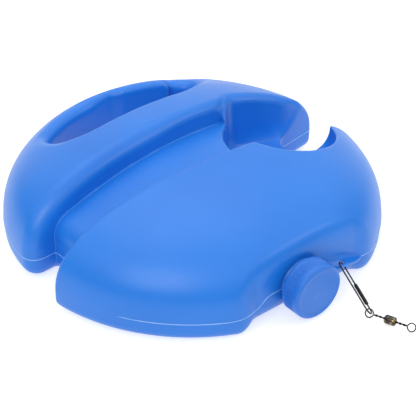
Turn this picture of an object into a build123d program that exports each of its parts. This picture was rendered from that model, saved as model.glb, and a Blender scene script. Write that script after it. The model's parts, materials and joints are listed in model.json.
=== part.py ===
from build123d import *
import os
from math import cos, hypot, pi, radians, sin, sqrt

# Base of a tennis rebound trainer: a hollow blow-moulded disc that is filled with water or sand.
# Millimetres. Origin: centre of the flat underside. +Z up. +X runs along the racket groove towards
# the ball pocket, -Y points out of the filler neck and +Y towards the carrying handle.

# ---- driving dimensions: the moulded body ----
BODY_R = 135.0          # rim radius
TOP_Z = 76.0            # crown of the dome
SEAM_Z = 16.0           # parting line on the rim, where the dome starts
FOOT_R = 134.5          # radius just above the rounded bottom edge
FOOT_ROUND = 9.0        # rounded bottom edge
DOME_POWER_R = 2.3      # superellipse powers of the dome's section
DOME_POWER_Z = 2.42
WALL = 2.4              # thickness of the blown skin

# ---- racket groove, from the left notch to the ball pocket ----
GROOVE_REAR_Y = 22.6    # rear wall at x = 0
GROOVE_REAR_SLOPE = 0.039
GROOVE_FRONT_Y = -28.0  # front wall at x = 0
GROOVE_FRONT_SLOPE = -0.062
GROOVE_FLOOR_Z = 58.0   # floor at x = 0, arched along the groove
GROOVE_FLOOR_R = 312.0
NOTCH_X = -109.0        # end wall of the notch that is open to the ground
NOTCH_ROUND = 9.0
GROOVE_REAR_ROUND = 7.0

# ---- ball pocket and the slot from it to the rim ----
POCKET_X = 68.5
POCKET_Y = -13.0
POCKET_R = 40.5
POCKET_FLOOR_Z = 21.0
POCKET_ROUND = 20.0     # between the pocket's floor and its wall
POCKET_EDGE_ROUND = 4.0
SLOT_X = 92.0           # end wall of the slot that is open to the ground
SLOT_REAR_Y = 13.8      # rear wall at the end wall
SLOT_REAR_SLOPE = 0.14
SLOT_FRONT_Y = -21.3
SLOT_FRONT_SLOPE = -0.10

# ---- carrying handle ----
HANDLE_INNER_Y = 56.5   # straight inner edge of the hand hole
HANDLE_END = 38.5       # degrees from +Y to each end of the hand hole
HANDLE_BAR_R = 108.0    # inner face of the bar
HANDLE_CORNER = 13.0
HANDLE_ROUND = 4.0
GRIP_BLOCK_R = 101.5    # thicker stretch of the bar
GRIP_BLOCK_X = (15.6, 49.0)
GRIP_RAMP = 41.0        # degrees between the block's left face and the X axis

# ---- flat for the filler neck, and the rope lug ----
FLAT_Y = -119.5
FLAT_HALF = 46.0
FLAT_FLARE = (11.0, 4.1)
FLAT_ROUND = 6.0
NECK_X = -5.8
NECK_Z = 22.6
NECK_R = 15.6
NECK_BORE_R = 13.0
NECK_END_Y = -135.0
LUG_EDGE_Y = -128.2
LUG_PLAN = ((16.0, FLAT_Y + 1), (16.0, LUG_EDGE_Y), (35.5, LUG_EDGE_Y), (48.0, -122.4),
            (49.0, FLAT_Y + 1))
LUG_SLOPE_X = (30.5, 47.0)      # the web falls from the neck's middle to the parting line
LUG_THICK = 1.6
LUG_HOLE = (26.2, -123.2)
LUG_HOLE_WIDTH = 9.4
LUG_HOLE_DEPTH = 5.5
LUG_CORNER = 3.0

# ---- screw cap ----
CAP_R = 20.0
CAP_BACK_Y = -124.0
CAP_FACE_Y = -138.8
CAP_BORE_R = 17.5
CAP_TOP = 2.2
CAP_SHOULDER = 2.0
LINER_R = 16.9
LINER_THICK = 1.4
THREAD_PITCH = 4.0
THREAD_TURNS = 1.5
THREAD_INSET = 2.2      # from the cap's open end to the middle of the first turn
THREAD_SINK = 0.25      # how deep a ridge is rooted in its wall
THREAD_HALF_CREST = 0.4
THREAD_FLANK = 0.35
NECK_THREAD_R = 16.9    # crest of the neck's thread
CAP_THREAD_R = 16.15    # crest of the cap's thread

# ---- wire snap and barrel swivel ----
SNAP_WIRE_R = 0.55
SNAP_HALF_WIDTH = 3.8   # half the distance between the two legs
SNAP_TWIST = -42.0      # roll of the loop's plane about its length
SNAP_END = Vector(23.2, -159.4, 3.25)
SNAP_RIM_X = 26.2       # where the loop's middle crosses the lug's outer web
SNAP_OVERREACH = 3.0    # from the lug's rim to the loop's inner end
CLASP_SPAN = (7.3, 23.4)
CLASP_WIDTH = 2.9
CLASP_THICK = 2.3
CLASP_SHEET = 0.45
CLASP_CORNER = 0.8
SNAP_WIRE_GAP = 1.0     # from the clasp's middle to each end of the wire
SWIVEL_DIRECTION = Vector(0.362, -0.932, 0)
EYE_RING_R = 2.85       # centre line of each eye's ring
EYE_WIRE_R = 0.45
EYE_SLACK = 1.2         # how far the first ring's centre lies behind the snap's wire
EYE_PITCH = 15.4        # ring centre to barrel centre
SHANK_R = 0.8
BARREL_R = 3.1
BARREL_HALF = 4.1
BARREL_WALL = 0.7
BARREL_MOUTH_R = 1.0
BARREL_END_R = 1.9      # flat ring round each mouth
BARREL_WAIST = 2.6      # half length of the barrel's straight middle
BARREL_CAVITY = 2.2     # half length of the cavity's straight middle
HEAD_R = 1.7
HEAD_FACE = 2.55        # from the barrel's middle to the face of a head
HEAD_LENGTH = 1.2

# ---- reach of the cutters ----
RUN_OUT = 160.0         # past the rim
CUT_LOW = -1.0          # past the underside
CUT_HIGH = TOP_Z + 10   # past the crown
OVERLAP = 1.0           # how far two joined shapes run into each other


def save(part, name):
    part.label = name
    export_step(part, f"parts/{name}.step")


def prism(face, low, high):
    """A vertical prism on a face drawn at z = 0."""
    return Pos(0, 0, low) * extrude(face, high - low)


def outline(*points):
    return make_face(Polyline(*points, close=True))


def dome_point(angle, inset):
    """Radius and height on the dome: angle 0 at the crown, pi/2 at the parting line."""
    radius = (BODY_R - inset) * sin(angle) ** (2 / DOME_POWER_R)
    height = SEAM_Z + (TOP_Z - inset - SEAM_Z) * cos(angle) ** (2 / DOME_POWER_Z)
    return (radius, height)


def dome_body(inset):
    """The disc of revolution before anything is cut into it, moved inwards by inset."""
    steps = 12
    crown = [dome_point(0.5 * pi * step / steps, inset) for step in range(steps)]
    rim = (BODY_R - inset, SEAM_Z)
    foot_r = FOOT_R - inset
    corner = FOOT_ROUND - inset
    section = Curve() + [
        Spline(*crown, rim, tangents=((1, 0), (0, -1))),
        Line(rim, (foot_r, inset + corner)),
        CenterArc((foot_r - corner, inset + corner), corner, 0, -90),
        Line((foot_r - corner, inset), (0, inset)),
        Line((0, inset), crown[0]),
    ]
    return revolve(Plane.XZ * make_face(section), Axis.Z)


def groove_rear(x):
    return GROOVE_REAR_Y + GROOVE_REAR_SLOPE * x


def groove_front(x):
    return GROOVE_FRONT_Y + GROOVE_FRONT_SLOPE * x


def groove_cut(grow):
    """Racket groove and the notch at its left end, widened and deepened by grow."""
    right = POCKET_X - POCKET_R / 2
    plan = outline((-RUN_OUT, groove_rear(-RUN_OUT) + grow), (right, groove_rear(right) + grow),
                   (right, groove_front(right) - grow), (-RUN_OUT, groove_front(-RUN_OUT) - grow))
    floor_z = GROOVE_FLOOR_Z - grow
    left = NOTCH_X + grow
    floor = Pos(0, 0, floor_z - GROOVE_FLOOR_R) * Rot(90, 0, 0) * Cylinder(GROOVE_FLOOR_R, 2 * BODY_R)
    bench = Pos((left + POCKET_X) / 2, 0, TOP_Z / 2) * Box(POCKET_X - left, 2 * BODY_R, TOP_Z)
    under_floor = floor & bench
    end_edge = under_floor.edges().filter_by(Axis.Y).group_by(Axis.Z)[-1].sort_by(Axis.X)[0]
    under_floor = fillet(end_edge, NOTCH_ROUND)
    return prism(plan, CUT_LOW, CUT_HIGH) - under_floor


def pocket_cut(grow):
    """Round ball pocket with a bowl-shaped floor."""
    radius = POCKET_R + grow
    floor_z = POCKET_FLOOR_Z - grow
    bowl = Pos(POCKET_X, POCKET_Y, floor_z) * Cylinder(
        radius, CUT_HIGH - floor_z, align=(Align.CENTER, Align.CENTER, Align.MIN))
    return fillet(bowl.edges().sort_by(Axis.Z)[0], POCKET_ROUND + grow)


def slot_cut(grow):
    """Slot from the ball pocket to the rim, open to the ground beyond its end wall."""
    def rear(x):
        return SLOT_REAR_Y + SLOT_REAR_SLOPE * (x - SLOT_X) + grow

    def front(x):
        return SLOT_FRONT_Y + SLOT_FRONT_SLOPE * (x - SLOT_X) - grow

    low_start = SLOT_X - grow
    through = outline((low_start, rear(low_start)), (RUN_OUT, rear(RUN_OUT)),
                      (RUN_OUT, front(RUN_OUT)), (low_start, front(low_start)))
    upper = outline((POCKET_X, rear(POCKET_X)), (low_start + OVERLAP, rear(low_start + OVERLAP)),
                    (low_start + OVERLAP, front(low_start + OVERLAP)), (POCKET_X, front(POCKET_X)))
    return prism(through, CUT_LOW, CUT_HIGH) + prism(upper, POCKET_FLOOR_Z + POCKET_ROUND, CUT_HIGH)


def grip_block(grow):
    """Plan of the thicker stretch of the handle bar: a ramp at its left end, square at its right."""
    left, right = GRIP_BLOCK_X
    ramp = radians(GRIP_RAMP)
    corner = Vector(left, sqrt(GRIP_BLOCK_R ** 2 - left ** 2))
    corner = corner + Vector(sin(ramp), cos(ramp)) * grow
    down = Vector(cos(ramp), -sin(ramp))
    reach = HANDLE_BAR_R - HANDLE_INNER_Y
    start = corner - down * reach / 2
    end = corner + down * reach / 2
    block = outline((start.X, start.Y), (end.X, end.Y), (right - grow, end.Y), (right - grow, BODY_R),
                    (start.X, BODY_R))
    return block - Circle(GRIP_BLOCK_R + grow)


def handle_cut(grow):
    """Hand hole between the body and the handle bar, with radial ends and the grip block left standing."""
    end = radians(HANDLE_END)
    apex_y = -grow / sin(end)
    side = RUN_OUT * sin(end)
    far_y = apex_y + RUN_OUT * cos(end)
    wedge = outline((0, apex_y), (side, far_y), (-side, far_y))
    beyond = Pos(0, HANDLE_INNER_Y - grow) * Rectangle(
        2 * RUN_OUT, RUN_OUT, align=(Align.CENTER, Align.MIN))
    hole = wedge & beyond & Circle(HANDLE_BAR_R + grow)
    hole = fillet(hole.vertices(), HANDLE_CORNER)
    return prism(hole - grip_block(grow), CUT_LOW, CUT_HIGH)


def flat_cut(grow):
    """Flat on the rim that the filler neck stands on, with flared ends."""
    flare_x, flare_y = FLAT_FLARE
    y = FLAT_Y + grow
    inner = FLAT_HALF
    outer = FLAT_HALF + flare_x + grow
    plan = outline((-inner, y), (-outer, y - flare_y), (-outer, -RUN_OUT),
                   (outer, -RUN_OUT), (outer, y - flare_y), (inner, y))
    return prism(plan, CUT_LOW, CUT_HIGH)


def moulded_form(grow):
    """The body's outside for grow = 0, and the tank inside it for grow = WALL."""
    form = dome_body(grow)
    for cut in (groove_cut, pocket_cut, slot_cut, handle_cut, flat_cut):
        form = form - cut(grow)
    return form


def lies_on_dome(edge):
    """True for an edge where a cut meets the dome above the parting line."""
    for place in (0.2, 0.5, 0.8):
        point = edge @ place
        share = min(hypot(point.X, point.Y) / BODY_R, 1) ** DOME_POWER_R
        height = SEAM_Z + (TOP_Z - SEAM_Z) * (1 - share) ** (1 / DOME_POWER_Z)
        if abs(point.Z - height) > 0.3 or point.Z < SEAM_Z + 0.3:
            return False
    return True


def rounded_form():
    """The body's outside with the edges on its dome rounded, one stretch after another."""
    form = moulded_form(0)
    stretches = (
        (HANDLE_ROUND, lambda mid: mid.Y > 50),
        (GROOVE_REAR_ROUND, lambda mid: 0 < mid.Y < 50 and mid.X < 0),
        (POCKET_EDGE_ROUND, lambda mid: 0 < mid.Y < 50 and mid.X > 60),
        (POCKET_EDGE_ROUND, lambda mid: -60 < mid.Y < 0),
        (FLAT_ROUND, lambda mid: mid.Y < -100),
    )
    for radius, belongs in stretches:
        edges = [edge for edge in form.edges() if lies_on_dome(edge) and belongs(edge @ 0.5)]
        form = fillet(edges, radius)
    return form


def along_neck(shape):
    """Stands a shape that was built up +Z on the neck's axis, pointing out of the neck along -Y."""
    return Plane(origin=(NECK_X, 0, NECK_Z), x_dir=(1, 0, 0), z_dir=(0, -1, 0)) * shape


def tube(radius, start_y, end_y):
    """Round bar on the neck's axis between two Y positions."""
    length = start_y - end_y
    bar = Cylinder(radius, length, align=(Align.CENTER, Align.CENTER, Align.MIN))
    return along_neck(Pos(0, 0, -start_y) * bar)


def thread_ridge(root_r, crest_r, start_y, phase):
    """Helical ridge from the root radius to the crest radius, winding outwards from start_y."""
    sink = THREAD_SINK if crest_r > root_r else -THREAD_SINK
    half_crest = THREAD_HALF_CREST
    half_root = half_crest + THREAD_FLANK
    path = Helix(THREAD_PITCH, THREAD_PITCH * THREAD_TURNS, root_r)
    profile = outline((root_r - sink, -half_root), (crest_r, -half_crest),
                      (crest_r, half_crest), (root_r - sink, half_root))
    ridge = sweep(Plane.XZ * profile, path=path, is_frenet=True)
    return along_neck(Pos(0, 0, -start_y) * Rot(0, 0, phase) * ridge)


def rope_lug():
    """Web beside the neck, sloping with the parting line, with the hole that the snap hangs in."""
    plan = outline(*LUG_PLAN)
    plan = fillet(plan.vertices().filter_by(lambda corner: corner.Y < FLAT_Y), LUG_CORNER)
    hole = Pos(*LUG_HOLE) * SlotOverall(LUG_HOLE_WIDTH, LUG_HOLE_DEPTH)
    left = LUG_PLAN[0][0]
    right = LUG_PLAN[-1][0]
    slope_start, slope_end = LUG_SLOPE_X
    top = LUG_THICK / 2
    section = outline((left, NECK_Z + top), (slope_start, NECK_Z + top), (slope_end, SEAM_Z + top),
                      (right, SEAM_Z + top), (right, SEAM_Z - top), (slope_end, SEAM_Z - top),
                      (slope_start, NECK_Z - top), (left, NECK_Z - top))
    web = extrude(Plane.XZ * section, -LUG_EDGE_Y)
    return web & prism(plan - hole, 0, TOP_Z)


def base_shell():
    """Blown skin of the disc with its neck, neck thread and rope lug."""
    shell = rounded_form() + tube(NECK_R, FLAT_Y + OVERLAP, NECK_END_Y) + rope_lug()
    shell = shell - moulded_form(WALL) - tube(NECK_BORE_R, FLAT_Y + 2 * WALL, NECK_END_Y - OVERLAP)
    return shell + thread_ridge(NECK_R, NECK_THREAD_R, CAP_BACK_Y - THREAD_INSET, 0)


def filler_cap():
    """Screw cap with its thread; the skirt's fine ribs are in the finish."""
    skirt = tube(CAP_R, CAP_BACK_Y, CAP_FACE_Y)
    skirt = fillet(skirt.edges().sort_by(Axis.Y)[0], CAP_SHOULDER)
    cap = skirt - tube(CAP_BORE_R, CAP_BACK_Y + OVERLAP, CAP_FACE_Y + CAP_TOP)
    half_turn_phase = 180
    return cap + thread_ridge(CAP_BORE_R, CAP_THREAD_R, CAP_BACK_Y - THREAD_INSET, half_turn_phase)


def cap_liner():
    """Soft sealing disc between the cap and the end of the neck."""
    face = CAP_FACE_Y + CAP_TOP
    return tube(LINER_R, face + LINER_THICK, face)


def snap_axes():
    """Unit vectors of the snap: along it to its lower end, and across from leg to leg."""
    rim = lug_rim_centre()
    along = (SNAP_END - rim).normalized()
    level = Vector(-along.Y, along.X, 0).normalized()
    across = level.rotate(Axis((0, 0, 0), tuple(along)), SNAP_TWIST)
    return along, across


def lug_rim_centre():
    """Middle of the narrow web between the lug's hole and its outer edge."""
    _, hole_y = LUG_HOLE
    return Vector(SNAP_RIM_X, (hole_y - LUG_HOLE_DEPTH / 2 + LUG_EDGE_Y) / 2, NECK_Z)


def snap_plane():
    """Plane of the snap's loop: origin at its lower end, x back along the loop, y across it."""
    along, across = snap_axes()
    return Plane(origin=SNAP_END, x_dir=-along, z_dir=(-along).cross(across))


def snap_length():
    return (SNAP_END - lug_rim_centre()).length + SNAP_OVERREACH


def snap_wire():
    """One spring wire bent into a long loop, its two ends meeting inside the clasp."""
    length = snap_length()
    half = SNAP_HALF_WIDTH
    gap = SNAP_WIRE_GAP
    middle = sum(CLASP_SPAN) / 2
    far = length - half
    path = Curve() + [
        Line((middle - gap, half), (half, half)),
        CenterArc((half, 0), half, 90, 180),
        Line((half, -half), (far, -half)),
        CenterArc((far, 0), half, -90, 180),
        Line((far, half), (middle + gap, half)),
    ]
    path = snap_plane() * path
    wire = Wire(path.edges())
    section = Plane(origin=wire @ 0, z_dir=wire % 0) * Circle(SNAP_WIRE_R)
    return sweep(section, path=wire)


def snap_clasp():
    """Folded sheet sleeve that both ends of the wire are held in."""
    low, high = CLASP_SPAN
    outer = RectangleRounded(CLASP_WIDTH, CLASP_THICK, CLASP_CORNER)
    inner = RectangleRounded(CLASP_WIDTH - 2 * CLASP_SHEET, CLASP_THICK - 2 * CLASP_SHEET,
                             CLASP_CORNER - CLASP_SHEET)
    sleeve = Plane.YZ * (outer - inner)
    sleeve = extrude(sleeve, high - low)
    return snap_plane() * (Pos(low, SNAP_HALF_WIDTH, 0) * sleeve)


def swivel_plane():
    """Plane of both eyes: origin at the first ring's centre, x along the swivel."""
    _, across = snap_axes()
    along = SWIVEL_DIRECTION.normalized()
    flat = (across - along * across.dot(along)).normalized()
    return Plane(origin=SNAP_END - along * EYE_SLACK, x_dir=along, z_dir=flat)


def wire_eye(towards, ring_x):
    """Ring, twisted shank and head of one eye; towards is the way from its ring to the barrel."""
    ring = Pos(ring_x, 0, 0) * Torus(EYE_RING_R, EYE_WIRE_R)
    shank_start = ring_x + towards * EYE_RING_R
    head_face = EYE_PITCH - towards * HEAD_FACE
    shank_length = abs(head_face - shank_start)
    turn = Rot(0, 90 * towards, 0)
    shank = Pos(shank_start, 0, 0) * turn * Cylinder(
        SHANK_R, shank_length, align=(Align.CENTER, Align.CENTER, Align.MIN))
    head = Pos(head_face, 0, 0) * turn * Cylinder(
        HEAD_R, HEAD_LENGTH, align=(Align.CENTER, Align.CENTER, Align.MIN))
    return swivel_plane() * (ring + shank + head)


def swivel_barrel():
    """Hollow barrel that holds both eyes' heads, with a mouth at each end."""
    end = BARREL_HALF - BARREL_WALL
    bore = BARREL_R - BARREL_WALL
    section = outline((-BARREL_HALF, BARREL_MOUTH_R), (-BARREL_HALF, BARREL_END_R),
                      (-BARREL_WAIST, BARREL_R), (BARREL_WAIST, BARREL_R),
                      (BARREL_HALF, BARREL_END_R), (BARREL_HALF, BARREL_MOUTH_R),
                      (end, BARREL_MOUTH_R), (BARREL_CAVITY, bore),
                      (-BARREL_CAVITY, bore), (-end, BARREL_MOUTH_R))
    barrel = revolve(section, Axis.X)
    return swivel_plane() * (Pos(EYE_PITCH, 0, 0) * barrel)


def main():
    os.makedirs("parts", exist_ok=True)
    save(base_shell(), "base_shell")
    save(filler_cap(), "filler_cap")
    save(cap_liner(), "cap_liner")
    save(snap_wire(), "snap_wire")
    save(snap_clasp(), "snap_clasp")
    save(wire_eye(1, 0), "swivel_eye_inner")
    save(swivel_barrel(), "swivel_barrel")
    save(wire_eye(-1, 2 * EYE_PITCH), "swivel_eye_outer")


main()
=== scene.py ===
import itertools
import json
from math import ceil, cos, pi, radians, sin, sqrt

import bpy
import numpy as np
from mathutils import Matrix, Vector


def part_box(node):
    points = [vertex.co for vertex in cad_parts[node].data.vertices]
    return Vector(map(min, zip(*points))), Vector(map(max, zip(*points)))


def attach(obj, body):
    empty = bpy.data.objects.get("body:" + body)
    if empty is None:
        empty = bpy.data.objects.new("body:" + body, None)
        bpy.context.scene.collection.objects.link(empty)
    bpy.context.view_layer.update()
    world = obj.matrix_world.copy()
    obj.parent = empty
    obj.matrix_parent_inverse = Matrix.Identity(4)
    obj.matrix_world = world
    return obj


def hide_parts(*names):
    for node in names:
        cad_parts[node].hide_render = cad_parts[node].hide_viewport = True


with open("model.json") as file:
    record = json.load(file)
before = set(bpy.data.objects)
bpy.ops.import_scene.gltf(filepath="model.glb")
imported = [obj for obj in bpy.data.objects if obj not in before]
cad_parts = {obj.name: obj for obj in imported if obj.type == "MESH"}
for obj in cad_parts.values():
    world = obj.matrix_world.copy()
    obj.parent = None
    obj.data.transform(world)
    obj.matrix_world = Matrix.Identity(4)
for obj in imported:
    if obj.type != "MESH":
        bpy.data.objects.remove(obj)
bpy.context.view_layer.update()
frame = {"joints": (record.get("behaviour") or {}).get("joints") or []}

# Base of a tennis rebound trainer. Lengths in this script are millimetres, turned into metres when a
# mesh is made. +X runs along the racket groove to the ball pocket, -Y out of the filler neck, +Z up.
MM = 0.001


def box_mm(node):
    """Lowest and highest corner of a CAD node in millimetres."""
    low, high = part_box(node)
    return np.array(low) / MM, np.array(high) / MM


def joint(name):
    return next(item for item in frame["joints"] if item["name"] == name)


def joint_place(name):
    return Vector(joint(name)["pos_m"]) / MM


def joint_axis(name):
    return Vector(joint(name)["axis"]).normalized()


BASE_HIGH = box_mm("base_shell")[1]
CAP_LOW, CAP_HIGH = box_mm("filler_cap")
LINER_LOW, LINER_HIGH = box_mm("cap_liner")

# ---- moulded body, from the frame's box and its own features ----
CROWN_CUT = 0.8             # the groove takes the dome's very crown away
RIM_R = BASE_HIGH[1]        # rim radius
TOP_Z = BASE_HIGH[2] + CROWN_CUT
SEAM_Z = 16.0               # parting line on the rim
FOOT_ROUND = 9.0            # rounded bottom edge
DOME_POWER_R = 2.38         # superellipse powers of the dome's section
DOME_POWER_Z = 2.42
DOME_LEAN = 0.46            # how much softer the shoulder is beside the pocket
LEAN_SIDE = (0.99, 0.12)    # the way that softer side faces
LEAN_START = 0.3            # how far past square to that way the softening starts
LEAST_DOME_SLOPE = 0.015    # keeps the distance finite at the crown
RIM_PULL = 2.2              # how far the rim shrinks beside the slot
NOTCH_PULL = 4.5            # how far it shrinks behind the notch
NOTCH_PULL_Y = (-15.0, 10.0)    # y over which that pull comes in
NOTCH_PULL_POWER = 16       # how closely it keeps to the left side
LEFT_SWELL = 1.2            # how far it stands out at the rest of the left side
SKIRT_DRAFT = 0.04          # taper below the parting line

GROOVE_REAR = (22.6, 0.039)     # y of the rear wall at x = 0, and its slope along x
GROOVE_FRONT = (-28.0, -0.062)
GROOVE_FLOOR_Z = 58.0
GROOVE_FLOOR_R = 312.0          # the floor arches along the groove
GROOVE_END_X = 46.0             # where the groove opens into the pocket
GROOVE_DRAFT = 0.05
NOTCH_X = -109.0                # end wall of the notch at the rim
NOTCH_ROUND = 10.0
FLOOR_CORNER = 0.8
GROOVE_ROUND = (2.5, 5.5, 4.5)  # rounding of its front edge, more at the rear, and more again at the left
GROOVE_ROUND_X = (-20.0, 30.0)  # -x over which the left part comes in
GROOVE_ROUND_Y = (-8.0, 8.0)    # y over which the rear part comes in

POCKET_CENTRE = (67.0, -15.5)
POCKET_R = 40.5
POCKET_FLOOR_Z = 21.0
POCKET_FLOOR_ROUND = 16.0
POCKET_REAR = (28.3, 60.0)      # y of the rear wall, and the x where it starts to lean forward
POCKET_REAR_SLOPE = 0.2
POCKET_REAR_DRAFT = 0.08
POCKET_LEFT_BEND = 11.6         # radius of the rear wall's left bend
POCKET_LOBE = (40.0, -8.0, 9.0) # left end and front of the wider rear part, and its corner
POCKET_LOBE_BLEND = 2.0
POCKET_BOWL_CORNER = 4.0
BOWL_BLEND_Y = (-20.0, 12.0)    # y over which the front bowl passes into the rear one
POCKET_ROUND = (2.0, 5.5)       # rounding of its rim, and how much more at the rear
POCKET_ROUND_Y = (-5.0, 18.0)
POCKET_RIM_Z = (56.0, 68.0)     # the rear's extra rounding needs this height, or this x
POCKET_RIM_X = (50.0, 62.0)
FRONT_BOWL = (69.0, -14.0, 76.0, 54.0, 54.0, 54.0)    # centre and half axes
REAR_BOWL = (74.0, -5.0, 60.0, 53.0, 47.0, 47.0)

SLOT_X = 91.0                   # end wall of the slot at the rim
SLOT_FROM_X = 99.0
SLOT_REAR = (14.8, 0.14)        # y at SLOT_FROM_X, and slope along x
SLOT_FRONT = (-22.0, -0.10)
SLOT_CORNER = 8.0
SLOT_DRAFT = (0.15, 45.0)       # lean of the front wall, and the height it leans about
SLOT_ROUND = (3.0, 2.0)         # rounding of its rim at the foot, and how much more at the top
SLOT_ROUND_Z = (25.0, 45.0)

HANDLE_RIGHT_END = 40.0         # degrees from +Y to the hole's right end, which is radial
HANDLE_LEFT_END = (-67.2, 84.5, 22.0)    # a point on its left end, and degrees from the Y axis
HANDLE_INNER_Y = 56.5
HANDLE_BAR_R = 108.0
HANDLE_CORNER = 11.0
GRIP_BLOCK_X = (15.6, 49.0)     # thicker stretch of the bar
GRIP_RAMP = 41.0                # degrees between the block's left face and the X axis
GRIP_BLOCK_R = 101.5
GRIP_CORNER = 1.5
HANDLE_ROUND = (2.0, 6.0, 5.0)  # rounding at the body, more at the block, and more again beside it
HANDLE_ROUND_R = (72.0, 100.0)  # distances from the centre over which it grows
BESIDE_BLOCK = 12.0             # how far from the block the last part is whole

FLAT_Y = -119.5                 # flat that the neck stands on
FLAT_FLARE_X = (43.0, 60.0)
FLAT_FLARE_DEPTH = 5.0
FLAT_ROUND = 7.0                # rounding between the flat and the dome
FLAT_FOOT = 7.0                 # how much rounder the bottom edge is under the flat
FLAT_FOOT_X = (40.0, 58.0)      # distances from the middle over which that fades
FLAT_FOOT_Y = (95.0, 112.0)     # -y over which it comes in

# ---- neck, lug, cap ----
NECK_X = (CAP_LOW[0] + CAP_HIGH[0]) / 2
NECK_Z = (CAP_LOW[2] + CAP_HIGH[2]) / 2
NECK_R = 15.6
NECK_BORE_R = 13.0
NECK_END_Y = LINER_HIGH[1]
NECK_SUNK = 1.6                 # how far its wall runs into the body
BORE_DEPTH = 12.0               # from the flat to the end of the bore
TANK_END = (NECK_X, -92.0, 23.0, 38.0, 24.5, 17.0)    # centre and half axes
THREAD_PITCH = 4.0
THREAD_TURNS = 1.5
THREAD_INSET = 2.2              # from the cap's open end to the thread's start
THREAD_FOOT = 0.75              # half widths of the ridge at its foot and its crest
THREAD_CREST = 0.4
THREAD_SINK = 0.25              # how deep its foot lies in the wall
NECK_THREAD_R = 16.9
CAP_THREAD_R = 16.15
CAP_R = (CAP_HIGH[0] - CAP_LOW[0]) / 2
CAP_BACK_Y = CAP_HIGH[1]
CAP_FACE_Y = CAP_LOW[1]
CAP_BORE_R = 17.5
CAP_TOP = 2.2
CAP_SHOULDER = 2.2
CAP_BAND = 1.7                  # plain band at the open end
RIB_COUNT = 80
RIB_DEPTH = 0.5
RIB_STOP = 2.4                  # from the shoulder to the ribs' end
RIB_FADES = (1.0, 1.4)          # run-out at the band and at the shoulder
CAP_DISH = 0.2                  # how far the face lies below its rim
CAP_DISH_STEPS = (0.84, 0.82, 0.81)     # shares of the radius between the face's rim and its dish
LUG_THICK = 1.6
LUG_EDGE_Y = -128.2
LUG_X = (16.0, 35.5)            # the straight part of its outer edge
LUG_TAIL = (48.0, -122.4)       # where that edge slants back to
LUG_SLOPE_X = (30.5, 47.0)      # the web falls from the neck's middle to the parting line
LUG_HOLE = (26.2, -123.2)
LUG_HOLE_SIZE = (9.4, 5.5)
LUG_CORNERS = (3.0, 2.5)        # where the edge starts to slant, and at its left end
LUG_ROOT = 1.5                  # how far the web runs into the body
LUG_FLARE = 2.2                 # how much thicker it is at the flat
LUG_FLARE_FADE = 0.9
LUG_EDGE_ROUND = 0.5

# ---- parting line ----
SEAM_FLAT_DEPTH = 12.0          # the line follows the web this far in from the flat
SEAM_RISE_X = (-45.0, -31.0)    # where it rises to the neck's middle
FLASH_R = 0.34
FLASH_GRID = 1.5
FLASH_SPACING = 1.6
FLASH_SINK = 0.7                # how deep the trimmed stretch lies
FLASH_TRIM_X = (112.0, 126.0)   # -x and -y over which the trimming comes in
FLASH_TRIM_Y = (12.0, 18.0)

# ---- snap and swivel, from the joints ----
SNAP_RIM = joint_place("snap_swing")
SNAP_END = joint_place("swivel_hang")
SNAP_ACROSS = -joint_axis("swivel_hang")
SWIVEL_AXIS = joint_axis("barrel_spin")
BARREL_CENTRE = joint_place("barrel_spin")
SNAP_WIRE_R = 0.55
SNAP_HALF_WIDTH = 3.8
SNAP_OVERREACH = 3.0
CLASP_SPAN = (7.3, 23.4)
CLASP_WIDTH = 2.9
CLASP_THICK = 2.3
CLASP_SIDE = 1                  # which leg of the loop the clasp sits on, along SNAP_ACROSS
CLASP_POWER = 0.6               # squareness of its section
CLASP_PINCH = 0.16              # how much narrower its ends are
CLASP_LAP = (0.22, 0.13)        # depth of the lap's crease, and its width in radians
EYE_RING_R = 2.85
EYE_WIRE_R = 0.45
EYE_PITCH = 15.4                # ring centre to barrel centre
STRAND_R = 0.42
SHANK_TURNS = 1.75
HEAD_R = 1.7
HEAD_FACE = 2.55
HEAD_LENGTH = 1.2
BARREL_R = 3.1
BARREL_HALF = 4.1
BARREL_WALL = 0.7
BARREL_MOUTH_R = 1.0


# ======================= signed distance form of the moulded body =======================

def round_and(a, b, radius):
    """Common part of two distance fields, its edge rounded."""
    flat = np.minimum(np.maximum(a, b), -radius)
    return flat + np.hypot(np.maximum(a + radius, 0), np.maximum(b + radius, 0))


def round_or(a, b, radius):
    return -round_and(-a, -b, radius)


def smooth(value, low, high):
    share = np.clip((value - low) / (high - low), 0, 1)
    return share * share * (3 - 2 * share)


def dome(x, y, z):
    """The disc: a superelliptic dome above the parting line, a tapered skirt below it."""
    reach = np.hypot(x, y)
    towards = (LEAN_SIDE[0] * x + LEAN_SIDE[1] * y) / np.maximum(reach, 1)
    lean = np.clip((towards + LEAN_START) / (1 + LEAN_START), 0, 1) ** 2
    power = DOME_POWER_R - DOME_LEAN * lean
    right = np.clip(x / np.maximum(reach, 1), 0, 1)
    left = np.clip(-x / np.maximum(reach, 1), 0, 1)
    notch_pull = NOTCH_PULL * left ** NOTCH_PULL_POWER * smooth(y, *NOTCH_PULL_Y)
    rim = RIM_R - RIM_PULL * right ** 2 + LEFT_SWELL * left ** 2 - notch_pull
    height = TOP_Z - SEAM_Z
    out = np.maximum(reach, 0.001) / rim
    up = np.maximum(z - SEAM_Z, 0) / height
    value = out ** power + up ** DOME_POWER_Z - 1
    slope = np.hypot(power / rim * out ** (power - 1), DOME_POWER_Z / height * up ** (DOME_POWER_Z - 1))
    above = value / np.maximum(slope, LEAST_DOME_SLOPE)
    below = reach - rim + SKIRT_DRAFT * np.maximum(SEAM_Z - z, 0)
    return np.where(z > SEAM_Z, above, below)


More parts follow.
